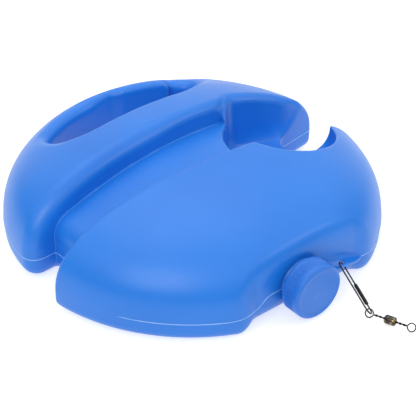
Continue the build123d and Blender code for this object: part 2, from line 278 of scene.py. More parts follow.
def groove(x, y, z):
    """Racket groove with its arched floor, running out over the notch at the rim."""
    lean = GROOVE_DRAFT * (z - GROOVE_FLOOR_Z)
    rear = y - (GROOVE_REAR[0] + GROOVE_REAR[1] * x + lean)
    front = GROOVE_FRONT[0] + GROOVE_FRONT[1] * x - lean - y
    walls = np.maximum(np.maximum(rear, front), x - GROOVE_END_X)
    arch = (z - GROOVE_FLOOR_Z + x * x / (2 * GROOVE_FLOOR_R)) / np.sqrt(1 + (x / GROOVE_FLOOR_R) ** 2)
    floor = round_and(arch, NOTCH_X - x, NOTCH_ROUND)
    return round_and(walls, -floor, FLOOR_CORNER)


def ellipsoid(x, y, z, bowl):
    cx, cy, cz, a, b, c = bowl
    dx = (x - cx) / a
    dy = (y - cy) / b
    dz = (z - cz) / c
    size = np.sqrt(dx * dx + dy * dy + dz * dz)
    slope = np.sqrt((dx / a) ** 2 + (dy / b) ** 2 + (dz / c) ** 2)
    return size * (size - 1) / np.maximum(slope, 0.001)


def pocket(x, y, z):
    """Ball pocket: round at the front, with a wider rear wall that runs on to the slot."""
    circle = np.hypot(x - POCKET_CENTRE[0], y - POCKET_CENTRE[1]) - POCKET_R
    rear_y, bend_x = POCKET_REAR
    left = bend_x - np.minimum(x, bend_x)
    wall_y = rear_y - POCKET_REAR_SLOPE * np.maximum(x - bend_x, 0) - left ** 2 / (2 * POCKET_LEFT_BEND)
    slope = np.where(x > bend_x, POCKET_REAR_SLOPE, left / POCKET_LEFT_BEND)
    rear = (y - wall_y - POCKET_REAR_DRAFT * (z - REAR_BOWL[2])) / np.hypot(1, slope)
    lobe_x, lobe_y, lobe_corner = POCKET_LOBE
    lobe = round_and(np.maximum(rear, lobe_y - y), lobe_x - x, lobe_corner)
    plan = round_or(circle, lobe, POCKET_LOBE_BLEND)
    share = smooth(y, *BOWL_BLEND_Y)
    bowl = ellipsoid(x, y, z, FRONT_BOWL) * (1 - share) + ellipsoid(x, y, z, REAR_BOWL) * share
    sides = round_and(plan, bowl, POCKET_BOWL_CORNER)
    return round_and(sides, POCKET_FLOOR_Z - z, POCKET_FLOOR_ROUND)


def slot(x, y, z):
    """Slot from the pocket to the rim, open to the ground."""
    rear = y - (SLOT_REAR[0] + SLOT_REAR[1] * (x - SLOT_FROM_X))
    lean = SLOT_DRAFT[0] * (SLOT_DRAFT[1] - z)
    front = SLOT_FRONT[0] + SLOT_FRONT[1] * (x - SLOT_FROM_X) + lean - y
    return round_and(np.maximum(rear, front), SLOT_X - x, SLOT_CORNER)


def grip_block(x, y):
    """Thicker stretch of the handle bar: a ramp at its left end, square at its right."""
    left, right = GRIP_BLOCK_X
    ramp = radians(GRIP_RAMP)
    corner_y = sqrt(GRIP_BLOCK_R ** 2 - left ** 2)
    before_ramp = -(x - left) * sin(ramp) - (y - corner_y) * cos(ramp)
    return round_and(np.maximum(before_ramp, x - right), GRIP_BLOCK_R - np.hypot(x, y), GRIP_CORNER)


def hand_hole(x, y, z):
    """Opening behind the handle bar with slanted ends, less the grip block."""
    end = radians(HANDLE_RIGHT_END)
    right = x * cos(end) - y * sin(end)
    left_x, left_y, slant = HANDLE_LEFT_END
    slant = radians(slant)
    left = (left_x - x) * cos(slant) + (left_y - y) * sin(slant)
    sides = np.maximum(HANDLE_INNER_Y - y, np.hypot(x, y) - HANDLE_BAR_R)
    opening = round_and(np.maximum(left, right), sides, HANDLE_CORNER)
    return round_and(opening, -grip_block(x, y), GRIP_CORNER)


def handle_round(x, y):
    """Rounding of the hand hole's rim: crisp at the body, broad at the bar, less so at the grip block."""
    at_body, at_block, beside = HANDLE_ROUND
    bar_round = at_block + beside * smooth(grip_block(x, y), 0, BESIDE_BLOCK)
    return at_body + bar_round * smooth(np.hypot(x, y), *HANDLE_ROUND_R)


def flat(x, y):
    """Negative in front of the flat on the rim, which bends outwards at both ends."""
    return y - (FLAT_Y - FLAT_FLARE_DEPTH * smooth(np.abs(x), *FLAT_FLARE_X))


def neck_axis_distance(x, z):
    return np.hypot(x - NECK_X, z - NECK_Z)


def outer_form(x, y, z):
    """The outside of the blown body, without neck and lug."""
    at_front, at_rear, at_left = GROOVE_ROUND
    rear_round = at_rear + at_left * smooth(-x, *GROOVE_ROUND_X)
    groove_round = at_front + rear_round * smooth(y, *GROOVE_ROUND_Y)
    under_flat = FLAT_FOOT * smooth(-y, *FLAT_FOOT_Y) * (1 - smooth(np.abs(x), *FLAT_FOOT_X))
    foot_round = FOOT_ROUND + under_flat
    form = round_and(dome(x, y, z), -flat(x, y), FLAT_ROUND)
    form = round_and(form, -hand_hole(x, y, z), handle_round(x, y))
    form = round_and(form, -groove(x, y, z), groove_round)
    at_rim = np.maximum(smooth(z, *POCKET_RIM_Z), smooth(x, *POCKET_RIM_X))
    pocket_round = POCKET_ROUND[0] + POCKET_ROUND[1] * smooth(y, *POCKET_ROUND_Y) * at_rim
    form = round_and(form, -pocket(x, y, z), pocket_round)
    slot_round = SLOT_ROUND[0] + SLOT_ROUND[1] * smooth(z, *SLOT_ROUND_Z)
    form = round_and(form, -slot(x, y, z), slot_round)
    return round_and(form, -z, foot_round)


def body_form(x, y, z):
    """The outside with the bore under the neck and the part of the tank that shows through it."""
    bore = np.maximum(neck_axis_distance(x, z) - NECK_BORE_R, y - FLAT_Y - BORE_DEPTH)
    tank = ellipsoid(x, y, z, TANK_END)
    return np.maximum(outer_form(x, y, z), -np.minimum(bore, tank))


# ======================= meshing =======================

def surface_net(form, low, high, step):
    """Points and quads of the surface where a distance field is zero."""
    axes = [np.arange(a, b + step, step) for a, b in zip(low, high)]
    value = form(*np.meshgrid(*axes, indexing="ij"))
    inside = value < 0
    cell_shape = tuple(n - 1 for n in inside.shape)
    count = np.zeros(cell_shape, np.int8)
    for corner in itertools.product((0, 1), repeat=3):
        count += inside[tuple(slice(c, c + n) for c, n in zip(corner, cell_shape))]
    crossed = (count > 0) & (count < 8)
    index = np.full(cell_shape, -1)
    index[crossed] = np.arange(crossed.sum())
    cells = np.argwhere(crossed)
    total = np.zeros((len(cells), 3))
    hits = np.zeros((len(cells), 1))
    for axis in range(3):
        along = np.eye(3, dtype=int)[axis]
        for offset in itertools.product((0, 1), repeat=3):
            if offset[axis]:
                continue
            start = cells + offset
            first = value[tuple(start.T)]
            second = value[tuple((start + along).T)]
            cut = (first < 0) != (second < 0)
            share = np.where(cut, first / np.where(cut, first - second, 1), 0)[:, None]
            total += np.where(cut[:, None], start + share * along, 0)
            hits += cut[:, None]
    points = np.array(low) + step * total / hits
    quads = []
    for axis in range(3):
        u, v = np.eye(3, dtype=int)[[(axis + 1) % 3, (axis + 2) % 3]]
        length = inside.shape[axis]
        first = inside.take(range(length - 1), axis)
        second = inside.take(range(1, length), axis)
        edge = np.argwhere(first != second)
        around = [edge, edge - u, edge - u - v, edge - v]
        quad = np.stack([index[tuple(cell.T)] for cell in around], 1)
        leaves = first[tuple(edge.T)]
        quad[~leaves] = quad[~leaves][:, ::-1]
        quads.append(quad)
    return points, np.concatenate(quads)


def gradient(form, points, reach=0.25):
    slope = np.zeros_like(points)
    for axis in range(3):
        ahead = points.copy()
        behind = points.copy()
        ahead[:, axis] += reach
        behind[:, axis] -= reach
        slope[:, axis] = (form(*ahead.T) - form(*behind.T)) / (2 * reach)
    return slope


def settle(form, points, furthest, rounds=3):
    """Moves points on to the zero surface along its gradient, and returns their normals too."""
    for _ in range(rounds):
        slope = gradient(form, points)
        square = np.maximum((slope ** 2).sum(1), 0.05)
        move = -slope * (form(*points.T) / square)[:, None]
        size = np.linalg.norm(move, axis=1, keepdims=True)
        points = points + move * np.minimum(1, furthest / np.maximum(size, 1e-9))
    slope = gradient(form, points)
    return points, slope / np.linalg.norm(slope, axis=1, keepdims=True)


def make_mesh(name, points, faces, normals=None):
    """Blender object from points in millimetres."""
    mesh = bpy.data.meshes.new(name)
    mesh.from_pydata((np.asarray(points) * MM).tolist(), [], [list(map(int, face)) for face in faces])
    mesh.validate()
    mesh.shade_smooth()
    if normals is not None:
        mesh.normals_split_custom_set_from_vertices(normals.tolist())
    piece = bpy.data.objects.new(name, mesh)
    bpy.context.scene.collection.objects.link(piece)
    return piece


def grid_faces(rows, columns, close_rows=False, close_columns=True):
    """Quads between neighbouring rows of a grid of points."""
    faces = []
    for row in range(rows if close_rows else rows - 1):
        after = (row + 1) % rows
        for column in range(columns if close_columns else columns - 1):
            beside = (column + 1) % columns
            faces.append((row * columns + column, row * columns + beside,
                          after * columns + beside, after * columns + column))
    return faces


def neck_point(radius, angle, y):
    return (NECK_X + radius * cos(angle), y, NECK_Z + radius * sin(angle))


def neck_lathe(name, profile, segments, closed=False, change=None):
    """Turned piece on the neck's axis. The profile lists (radius, y); change(angle, y) adds to the radius."""
    points = []
    for radius, y in profile:
        for column in range(segments):
            angle = 2 * pi * column / segments
            extra = change(angle, y, radius) if change else 0
            points.append(neck_point(radius + extra, angle, y))
    rows = len(profile)
    faces = grid_faces(rows, segments, close_rows=closed)
    if not closed:
        faces.append(tuple(reversed(range(segments))))
        faces.append(tuple(range((rows - 1) * segments, rows * segments)))
    return make_mesh(name, points, faces)


def arc(centre, radius, start, end, steps):
    """Points of an arc in the plane, angles in degrees."""
    angles = [radians(start + (end - start) * step / steps) for step in range(steps + 1)]
    return [(centre[0] + radius * cos(a), centre[1] + radius * sin(a)) for a in angles]


def tube(name, path, radius, sides=12, closed=False, taper=None):
    """Round bar along a path of Vectors; its section turns with the path and never twists."""
    count = len(path)
    tangents = []
    for i in range(count):
        before = path[(i - 1) % count] if closed or i > 0 else path[0]
        after = path[(i + 1) % count] if closed or i < count - 1 else path[-1]
        tangents.append((after - before).normalized())
    side = tangents[0].orthogonal().normalized()
    points = []
    for i, (place, tangent) in enumerate(zip(path, tangents)):
        if i:
            side.rotate(tangents[i - 1].rotation_difference(tangent))
        side = (side - tangent * side.dot(tangent)).normalized()
        other = tangent.cross(side)
        size = radius * (taper(i / (count - 1)) if taper else 1)
        for column in range(sides):
            angle = 2 * pi * column / sides
            points.append(tuple(place + side * (size * cos(angle)) + other * (size * sin(angle))))
    faces = grid_faces(count, sides, close_rows=closed)
    if not closed:
        faces.append(tuple(reversed(range(sides))))
        faces.append(tuple(range((count - 1) * sides, count * sides)))
    return make_mesh(name, points, faces)


def join(name, pieces):
    """One object from several."""
    with bpy.context.temp_override(active_object=pieces[0], selected_editable_objects=pieces):
        bpy.ops.object.join()
    pieces[0].name = name
    pieces[0].data.name = name
    return pieces[0]


def soften(piece, width, segments, angle):
    """Rounds the edges of a piece that are sharper than an angle."""
    bevel = piece.modifiers.new("soft_edges", "BEVEL")
    bevel.width = width * MM
    bevel.segments = segments
    bevel.limit_method = "ANGLE"
    bevel.angle_limit = radians(angle)
    bevel.harden_normals = False
    return piece


# ======================= the pieces =======================

def moulded_body():
    """The blown disc as one closed skin."""
    step = 1.4
    margin = 2.5 * step
    low = (-RIM_R - margin, -RIM_R - margin, -margin)
    high = (RIM_R + margin, RIM_R + margin, TOP_Z + margin)
    points, quads = surface_net(body_form, low, high, step)
    points, normals = settle(body_form, points, 0.6 * step)
    return make_mesh("moulded_body", points, quads, normals)


def web_height(x):
    """Height of the parting line along the flat: level at the neck, falling to the rim's level."""
    start, end = LUG_SLOPE_X
    fall = np.clip((x - start) / (end - start), 0, 1)
    return SEAM_Z + (NECK_Z - SEAM_Z) * smooth(x, *SEAM_RISE_X) * (1 - fall)


def seam_height(x, y):
    """Parting line: level on the rim, and raised on the flat where the neck and lug stand."""
    return np.where(y < FLAT_Y + SEAM_FLAT_DEPTH, web_height(x), SEAM_Z)


def seam_form(x, y):
    return outer_form(x, y, seam_height(x, y))


def contour_loops(form, low, high, step):
    """Closed loops of points where a plane field is zero."""
    axes = [np.arange(low, high + step, step)] * 2
    inside = form(*np.meshgrid(*axes, indexing="ij")) < 0
    links = {}
    for axis in range(2):
        v = np.eye(2, dtype=int)[1 - axis]
        length = inside.shape[axis]
        first = inside.take(range(length - 1), axis)
        second = inside.take(range(1, length), axis)
        for edge in np.argwhere(first != second):
            a, b = tuple(edge), tuple(edge - v)
            links.setdefault(a, []).append(b)
            links.setdefault(b, []).append(a)
    loops = []
    while links:
        cell = next(iter(links))
        loop = [cell]
        while links.get(cell):
            following = links[cell].pop()
            links[following].remove(cell)
            if not links[cell]:
                del links[cell]
            cell = following
            loop.append(cell)
        links.pop(cell, None)
        loops.append(low + step * (np.array(loop[:-1]) + 0.5))
    return loops


def seam_path(loop, spacing):
    """An even, smooth path on the body's surface from a loop of grid points."""
    points = loop
    for _ in range(3):
        cube = np.column_stack([points, seam_height(*points.T)])
        for _ in range(3):
            slope = gradient(outer_form, cube)
            level = np.maximum((slope[:, :2] ** 2).sum(1), 0.2)
            cube[:, :2] -= slope[:, :2] * (outer_form(*cube.T) / level)[:, None]
            cube[:, 2] = seam_height(cube[:, 0], cube[:, 1])
        around = np.vstack([cube, cube[:1]])
        travel = np.concatenate([[0], np.cumsum(np.linalg.norm(np.diff(around, axis=0), axis=1))])
        stops = np.linspace(0, travel[-1], ceil(travel[-1] / spacing), endpoint=False)
        points = np.column_stack([np.interp(stops, travel, around[:, k]) for k in range(2)])
    return [Vector((x, y, z)) for x, y, z in np.column_stack([points, seam_height(*points.T)])]


def trimmed_flash(path):
    """Sinks the flash into the body on the front left, where it has been trimmed flush."""
    places = np.array(path)
    share = smooth(-places[:, 0], *FLASH_TRIM_X) * smooth(-places[:, 1], *FLASH_TRIM_Y)
    slope = gradient(outer_form, places)
    slope /= np.linalg.norm(slope, axis=1, keepdims=True)
    return [Vector(place) for place in places - FLASH_SINK * share[:, None] * slope]


def parting_line():
    """The thin flash that the two halves of the mould leave round the body."""
    reach = RIM_R + 6
    beads = []
    for loop in contour_loops(seam_form, -reach, reach, FLASH_GRID):
        if len(loop) > 20:
            path = trimmed_flash(seam_path(loop, FLASH_SPACING))
            beads.append(tube(f"seam_{len(beads)}", path, FLASH_R, sides=6, closed=True))
    return join("parting_line", beads)


def thread_ridge(name, root, crest, phase):
    """Helical ridge whose ends run out into the wall."""
    steps = 150
    sink = THREAD_SINK if crest > root else -THREAD_SINK
    foot = root - sink
    start_y = CAP_BACK_Y - THREAD_INSET
    points = []
    for step in range(steps + 1):
        share = step / steps
        angle = phase + 2 * pi * THREAD_TURNS * share
        y = start_y - THREAD_PITCH * THREAD_TURNS * share
        rise = smooth(share, 0, 0.06) * (1 - smooth(share, 0.94, 1))
        top = root - sink * 0.5 + (crest - root + sink * 0.5) * rise
        section = [(foot, THREAD_FOOT), (top, THREAD_CREST), (top, -THREAD_CREST), (foot, -THREAD_FOOT)]
        for radius, off in section:
            points.append(neck_point(radius, angle, y + off))
    faces = grid_faces(steps + 1, 4)
    faces += [(3, 2, 1, 0), tuple(4 * steps + k for k in range(4))]
    if crest < root:
        faces = [tuple(reversed(face)) for face in faces]
    return make_mesh(name, points, faces)


def filler_neck():
    """Blown neck with its sealing lip and its thread."""
    lip = 0.7
    profile = [(NECK_R, FLAT_Y + NECK_SUNK), (NECK_R + 0.8, FLAT_Y - 0.2), (NECK_R + 0.2, FLAT_Y - 0.9),
               (NECK_R, FLAT_Y - 1.8), (NECK_R, NECK_END_Y + lip)]
    profile += arc((NECK_R - lip, NECK_END_Y + lip), lip, 0, -90, 4)[1:]
    profile += arc((NECK_BORE_R + lip, NECK_END_Y + lip), lip, -90, -180, 4)
    profile += [(NECK_BORE_R, FLAT_Y + NECK_SUNK)]
    neck = neck_lathe("neck_tube", profile, 96, closed=True)
    ridge = thread_ridge("neck_thread", NECK_R, NECK_THREAD_R, 0)
    return join("filler_neck", [neck, ridge])


def lug_form(x, y, z):
    """Web with a straight outer edge, a slanted tail, a round-ended hole and a flare into the body."""
    left, turn = LUG_X
    tail_x, tail_y = LUG_TAIL
    length = sqrt((tail_x - turn) ** 2 + (tail_y - LUG_EDGE_Y) ** 2)
    slant = ((x - turn) * (tail_y - LUG_EDGE_Y) - (y - LUG_EDGE_Y) * (tail_x - turn)) / length
    plan = round_and(round_and(LUG_EDGE_Y - y, slant, LUG_CORNERS[0]), left - x, LUG_CORNERS[1])
    hole_length, hole_width = LUG_HOLE_SIZE
    half = (hole_length - hole_width) / 2
    off = np.maximum(np.abs(x - LUG_HOLE[0]) - half, 0)
    hole = np.hypot(off, y - LUG_HOLE[1]) - hole_width / 2
    root = np.maximum(y - FLAT_Y - LUG_ROOT, x - tail_x - LUG_ROOT)
    plan = round_and(np.maximum(plan, root), -hole, LUG_EDGE_ROUND)
    flare = LUG_FLARE * np.exp((FLAT_Y - y) / -LUG_FLARE_FADE)
    thick = np.abs(z - web_height(x)) - LUG_THICK / 2 - np.minimum(flare, LUG_FLARE)
    return round_and(plan, thick, LUG_EDGE_ROUND)


def rope_lug():
    """Flat web beside the neck with its slotted hole."""
    step = 0.5
    low = (LUG_X[0] - 2, LUG_EDGE_Y - 2, SEAM_Z - 5)
    high = (LUG_TAIL[0] + 5, FLAT_Y + 3, NECK_Z + 5)
    points, quads = surface_net(lug_form, low, high, step)
    points, normals = settle(lug_form, points, 0.6 * step)
    return make_mesh("rope_lug", points, quads, normals)


def filler_cap():
    """Hollow screw cap with a ribbed skirt."""
    rib_start = CAP_BACK_Y - CAP_BAND
    rib_end = CAP_FACE_Y + CAP_SHOULDER + RIB_STOP
    inner_top = CAP_FACE_Y + CAP_TOP
    edge = 0.5
    outside = [(0.02, inner_top), (CAP_BORE_R * 0.5, inner_top), (CAP_BORE_R - 0.4, inner_top)]
    outside += [(CAP_BORE_R, inner_top + 0.4), (CAP_BORE_R, CAP_BACK_Y - edge)]
    outside += arc((CAP_BORE_R + edge, CAP_BACK_Y - edge), edge, 180, 90, 3)[1:]
    outside += arc((CAP_R - edge, CAP_BACK_Y - edge), edge, 90, 0, 3)
    rows = 14
    outside += [(CAP_R, rib_start + (rib_end - rib_start) * (row / rows)) for row in range(rows + 1)]
    outside += arc((CAP_R - CAP_SHOULDER, CAP_FACE_Y + CAP_SHOULDER), CAP_SHOULDER, 0, -90, 8)
    rim_end, slope_middle, dish_start = CAP_DISH_STEPS
    outside += [(CAP_R * rim_end, CAP_FACE_Y), (CAP_R * slope_middle, CAP_FACE_Y + 0.08)]
    rings = (1, 0.9, 0.8, 0.6, 0.4, 0.2, 0.01)
    outside += [(CAP_R * dish_start * share, CAP_FACE_Y + CAP_DISH) for share in rings]

    def ribs(angle, y, radius):
        if radius < CAP_R - 0.01:
            return 0
        share = smooth(rib_start - y, -0.1, RIB_FADES[0]) * smooth(y - rib_end, -0.1, RIB_FADES[1])
        return -RIB_DEPTH * share * (0.5 - 0.5 * cos(RIB_COUNT * angle)) ** 1.5

    shell = neck_lathe("cap_shell", outside, RIB_COUNT * 8, change=ribs)
    ridge = thread_ridge("cap_thread", CAP_BORE_R, CAP_THREAD_R, pi)
    return join("screw_cap", [shell, ridge])


def cap_liner():
    """Soft disc with the ring that the neck has pressed into it."""
    back = LINER_HIGH[1]
    face = LINER_LOW[1]
    radius = (LINER_HIGH[0] - LINER_LOW[0]) / 2
    press = 0.12
    profile = [(0.02, back), (NECK_BORE_R - 0.6, back), (NECK_BORE_R, back - press),
               (NECK_R, back - press), (NECK_R + 0.4, back), (radius - 0.2, back), (radius, back - 0.2),
               (radius, face + 0.2), (radius - 0.2, face), (0.02, face)]
    profile = list(reversed(profile))
    return neck_lathe("liner_disc", profile, 96)


def snap_frame():
    """Point of the snap's plane from (along the loop, across it, off it)."""
    back = (SNAP_RIM - SNAP_END).normalized()
    across = (SNAP_ACROSS - back * SNAP_ACROSS.dot(back)).normalized()
    off = back.cross(across)
    return lambda u, v, w=0.0: SNAP_END + back * u + across * v + off * w


def snap_loop():
    """Spring wire: a long loop whose ends meet inside the clasp."""
    at = snap_frame()
    length = (SNAP_RIM - SNAP_END).length + SNAP_OVERREACH
    half = SNAP_HALF_WIDTH
    far = length - half
    middle = sum(CLASP_SPAN) / 2
    gap = 0.6
    steps = 14
    path = [(middle - gap, CLASP_SIDE * half), (half + 2, CLASP_SIDE * half)]
    path += [(half + half * cos(a), CLASP_SIDE * half * sin(a)) for a in
             [pi / 2 + pi * k / steps for k in range(steps + 1)]]
    straight = [half + (far - half) * k / 10 for k in range(1, 10)]
    path += [(u, -CLASP_SIDE * half) for u in straight]
    path += [(far + half * cos(a), CLASP_SIDE * half * sin(a)) for a in
             [-pi / 2 + pi * k / steps for k in range(steps + 1)]]
    path += [(middle + gap, CLASP_SIDE * half)]
    return tube("snap_loop", [at(*place) for place in path], SNAP_WIRE_R, sides=14)


def snap_clasp_sleeve():
    """Folded sleeve, pinched at both ends, with the lap of the sheet along its outer side."""
    at = snap_frame()
    low, high = CLASP_SPAN
    rows = 24
    columns = 32
    points = []
    for row in range(rows + 1):
        share = row / rows
        u = low + (high - low) * share
        pinch = 1 - CLASP_PINCH * (1 - smooth(share, 0, 0.09) * (1 - smooth(share, 0.91, 1)))
        for column in range(columns):
            angle = 2 * pi * column / columns
            v = CLASP_WIDTH / 2 * pinch * abs(cos(angle)) ** CLASP_POWER * (1 if cos(angle) > 0 else -1)
            w = CLASP_THICK / 2 * pinch * abs(sin(angle)) ** CLASP_POWER * (1 if sin(angle) > 0 else -1)
            lap = CLASP_LAP[0] * np.exp(-((angle - pi / 2) / CLASP_LAP[1]) ** 2)
            points.append(tuple(at(u, CLASP_SIDE * SNAP_HALF_WIDTH + v, w * (1 - lap))))
    faces = grid_faces(rows + 1, columns)
    for end, u in ((0, low), (1, high)):
        first = len(points)
        for depth, scale in ((0, 0.66), (2.0, 0.62)):
            for column in range(columns):
                angle = 2 * pi * column / columns
                v = CLASP_WIDTH / 2 * scale * 0.84 * cos(angle)
                w = CLASP_THICK / 2 * scale * 0.84 * sin(angle)
                inward = depth if end == 0 else -depth
                points.append(tuple(at(u + inward, CLASP_SIDE * SNAP_HALF_WIDTH + v, w)))
        edge = 0 if end == 0 else rows * columns
        for a, b in ((edge, first), (first, first + columns)):
            for column in range(columns):
                beside = (column + 1) % columns
                face = (a + column, a + beside, b + beside, b + column)
                faces.append(tuple(reversed(face)) if end == 0 else face)
        floor = tuple(first + columns + column for column in range(columns))
        faces.append(tuple(reversed(floor)) if end == 0 else floor)
    return make_mesh("clasp_sleeve", points, faces)


def swivel_frame():
    """Point of the swivel from (along it, across in the rings' plane, off that plane)."""
    flat = (SNAP_ACROSS - SWIVEL_AXIS * SNAP_ACROSS.dot(SWIVEL_AXIS)).normalized()
    across = flat.cross(SWIVEL_AXIS)
    return lambda u, v, w=0.0: BARREL_CENTRE + SWIVEL_AXIS * u + across * v + flat * w


def wire_eye(name, side):
    """One eye: a ring whose two ends twist together into the shank, and its head in the barrel."""
    at = swivel_frame()
    ring_u = side * EYE_PITCH
    steps = 40
    open_half = radians(14)
    path = []
    for step in range(steps + 1):
        angle = open_half + (2 * pi - 2 * open_half) * step / steps
        path.append(at(ring_u - side * EYE_RING_R * cos(angle), EYE_RING_R * sin(angle)))
    ring = tube(f"{name}_ring", path, EYE_WIRE_R, sides=12)
    start = ring_u - side * (EYE_RING_R - 0.25)
    end = side * (HEAD_FACE + 0.2)
    strands = []
    for k in range(2):
        twist = []
        for step in range(49):
            share = step / 48
            angle = pi * k + 2 * pi * SHANK_TURNS * share
            spread = STRAND_R + (EYE_RING_R * sin(open_half) - STRAND_R) * (1 - smooth(share, 0, 0.2))
            twist.append(at(start + (end - start) * share, spread * cos(angle), STRAND_R * sin(angle)))
        strands.append(tube(f"{name}_strand_{k}", twist, STRAND_R, sides=10))
    head_path = [at(side * (HEAD_FACE - HEAD_LENGTH * share), 0) for share in (0, 0.15, 0.5, 0.85, 1)]
    head = tube(f"{name}_head", head_path, HEAD_R, sides=20,
                taper=lambda share: 0.75 + 0.25 * min(1.0, 5 * share, 5 * (1 - share)))
    return join(name, [ring, *strands, head])


def barrel():
    """Turned hollow barrel with rounded shoulders and a rolled mouth at each end."""
    at = swivel_frame()
    shoulder = 1.5
    outside = [(-BARREL_HALF, BARREL_MOUTH_R), (-BARREL_HALF, 1.55)]
    outside += arc((-BARREL_HALF + shoulder, BARREL_R - shoulder), shoulder, 180, 90, 8)
    outside += arc((BARREL_HALF - shoulder, BARREL_R - shoulder), shoulder, 90, 0, 8)
    outside += [(BARREL_HALF, 1.55), (BARREL_HALF, BARREL_MOUTH_R)]
    inner = BARREL_R - BARREL_WALL
    inside = [(BARREL_HALF - BARREL_WALL, BARREL_MOUTH_R), (2.4, inner), (-2.4, inner),
              (BARREL_WALL - BARREL_HALF, BARREL_MOUTH_R)]
    profile = outside + inside
    segments = 48
    points = []
    for u, radius in profile:
        for column in range(segments):
            angle = 2 * pi * column / segments
            points.append(tuple(at(u, radius * cos(angle), radius * sin(angle))))
    faces = grid_faces(len(profile), segments, close_rows=True)
    return soften(make_mesh("barrel_shell", points, faces), 0.12, 2, 50)


# ======================= materials =======================

def node_material(name):
    material = bpy.data.materials.new(name)
    material.use_nodes = True
    nodes = material.node_tree.nodes
    return material, nodes, material.node_tree.links, nodes["Principled BSDF"]


def noise(nodes, links, scale, detail=3.0, roughness=0.5):
    """Noise in the shared frame, its scale in features per metre."""
    place = nodes.new("ShaderNodeTexCoord")
    texture = nodes.new("ShaderNodeTexNoise")
    texture.inputs["Scale"].default_value = scale
    texture.inputs["Detail"].default_value = detail
    texture.inputs["Roughness"].default_value = roughness
    links.new(place.outputs["Object"], texture.inputs["Vector"])
    return texture.outputs["Fac"]


def ramp(nodes, links, source, stops):
    """Colour ramp: stops are (place, colour)."""
    node = nodes.new("ShaderNodeValToRGB")
    node.color_ramp.elements[0].position = stops[0][0]
    node.color_ramp.elements[0].color = (*stops[0][1], 1)
    node.color_ramp.elements[1].position = stops[-1][0]
    node.color_ramp.elements[1].color = (*stops[-1][1], 1)
    for place, colour in stops[1:-1]:
        node.color_ramp.elements.new(place).color = (*colour, 1)
    links.new(source, node.inputs["Fac"])
    return node.outputs["Color"]


def spread(nodes, links, source, low, high, into):
    """Maps a 0 to 1 value on to a range and plugs it in."""
    node = nodes.new("ShaderNodeMapRange")
    node.inputs["To Min"].default_value = low
    node.inputs["To Max"].default_value = high
    links.new(source, node.inputs["Value"])
    links.new(node.outputs["Result"], into)


def blend_colours(nodes, links, share, first, second):
    node = nodes.new("ShaderNodeMix")
    node.data_type = "RGBA"
    links.new(share, node.inputs["Factor"])
    for socket, source in ((node.inputs[6], first), (node.inputs[7], second)):
        if isinstance(source, tuple):
            socket.default_value = (*source, 1)
        else:
            links.new(source, socket)
    return node.outputs[2]


def painted_edge_highlight(nodes, links, low, high):
    """Share of a painted highlight: from 0 on flats to 1 on convex edges, broken up by noise."""
    geometry = nodes.new("ShaderNodeNewGeometry")
    edge = nodes.new("ShaderNodeMapRange")
    edge.inputs["From Min"].default_value = low
    edge.inputs["From Max"].default_value = high
    links.new(geometry.outputs["Pointiness"], edge.inputs["Value"])
    highlight_breakup = nodes.new("ShaderNodeMapRange")
    highlight_breakup.inputs["From Min"].default_value = 0.42
    highlight_breakup.inputs["From Max"].default_value = 0.62
    links.new(noise(nodes, links, 90, 4, 0.6), highlight_breakup.inputs["Value"])
    both = nodes.new("ShaderNodeMath")
    both.operation = "MULTIPLY"
    links.new(edge.outputs["Result"], both.inputs[0])
    links.new(highlight_breakup.outputs["Result"], both.inputs[1])
    return both.outputs["Value"]


def add_bump(nodes, links, shader, layers):
    """Stacks bump layers: each is (height source, strength, distance in millimetres)."""
    previous = None
    for source, strength, distance in layers:
        bump = nodes.new("ShaderNodeBump")
        bump.inputs["Strength"].default_value = strength
        bump.inputs["Distance"].default_value = distance * MM
        links.new(source, bump.inputs["Height"])
        if previous:
            links.new(previous, bump.inputs["Normal"])
        previous = bump.outputs["Normal"]
    links.new(previous, shader.inputs["Normal"])


def moulded_plastic(name, dark, mid, light, rough, grain):
    """Coloured polyethylene: faint cloudiness, a fine moulded grain and a painted highlight that pales its
    convex edges, broken up by noise.
    """
    material, nodes, links, shader = node_material(name)
    cloud = ramp(nodes, links, noise(nodes, links, 14, 3), [(0.3, dark), (0.5, mid), (0.72, light)])
    # painted highlight: convex edges blend towards a pale, greyish blue
    edge_highlight_share = painted_edge_highlight(nodes, links, 0.52, 0.60)
    edge_highlight_colour = tuple(0.75 * channel + 0.25 * 0.7 for channel in light)
    colour = blend_colours(nodes, links, edge_highlight_share, cloud, edge_highlight_colour)
    links.new(colour, shader.inputs["Base Color"])
    spread(nodes, links, noise(nodes, links, 60, 4), rough[0], rough[1], shader.inputs["Roughness"])
    shader.inputs["Specular IOR Level"].default_value = 0.5
    shader.inputs["Subsurface Weight"].default_value = 0.06
    shader.inputs["Subsurface Radius"].default_value = (0.001, 0.0022, 0.005)
    fine = noise(nodes, links, 1700, 2)
    waves = noise(nodes, links, 45, 2)
    add_bump(nodes, links, shader, [(fine, grain, 0.05), (waves, 0.10, 0.6)])
    return material


def plated_metal(name, dark, light, rough, brass=None):
    """Black-nickel plating with cloudy tone, fine drawing marks and the base metal at rubbed places."""
    material, nodes, links, shader = node_material(name)
    cloud = ramp(nodes, links, noise(nodes, links, 700, 3), [(0.35, dark), (0.65, light)])
    if brass:
        patch = ramp(nodes, links, noise(nodes, links, 260, 2), [(0.5, (0, 0, 0)), (0.62, (1, 1, 1))])
        cloud = blend_colours(nodes, links, patch, cloud, brass)
    links.new(cloud, shader.inputs["Base Color"])
    shader.inputs["Metallic"].default_value = 1
    spread(nodes, links, noise(nodes, links, 2200, 3), rough[0], rough[1], shader.inputs["Roughness"])
    add_bump(nodes, links, shader, [(noise(nodes, links, 4500, 3), 0.12, 0.03)])
    return material


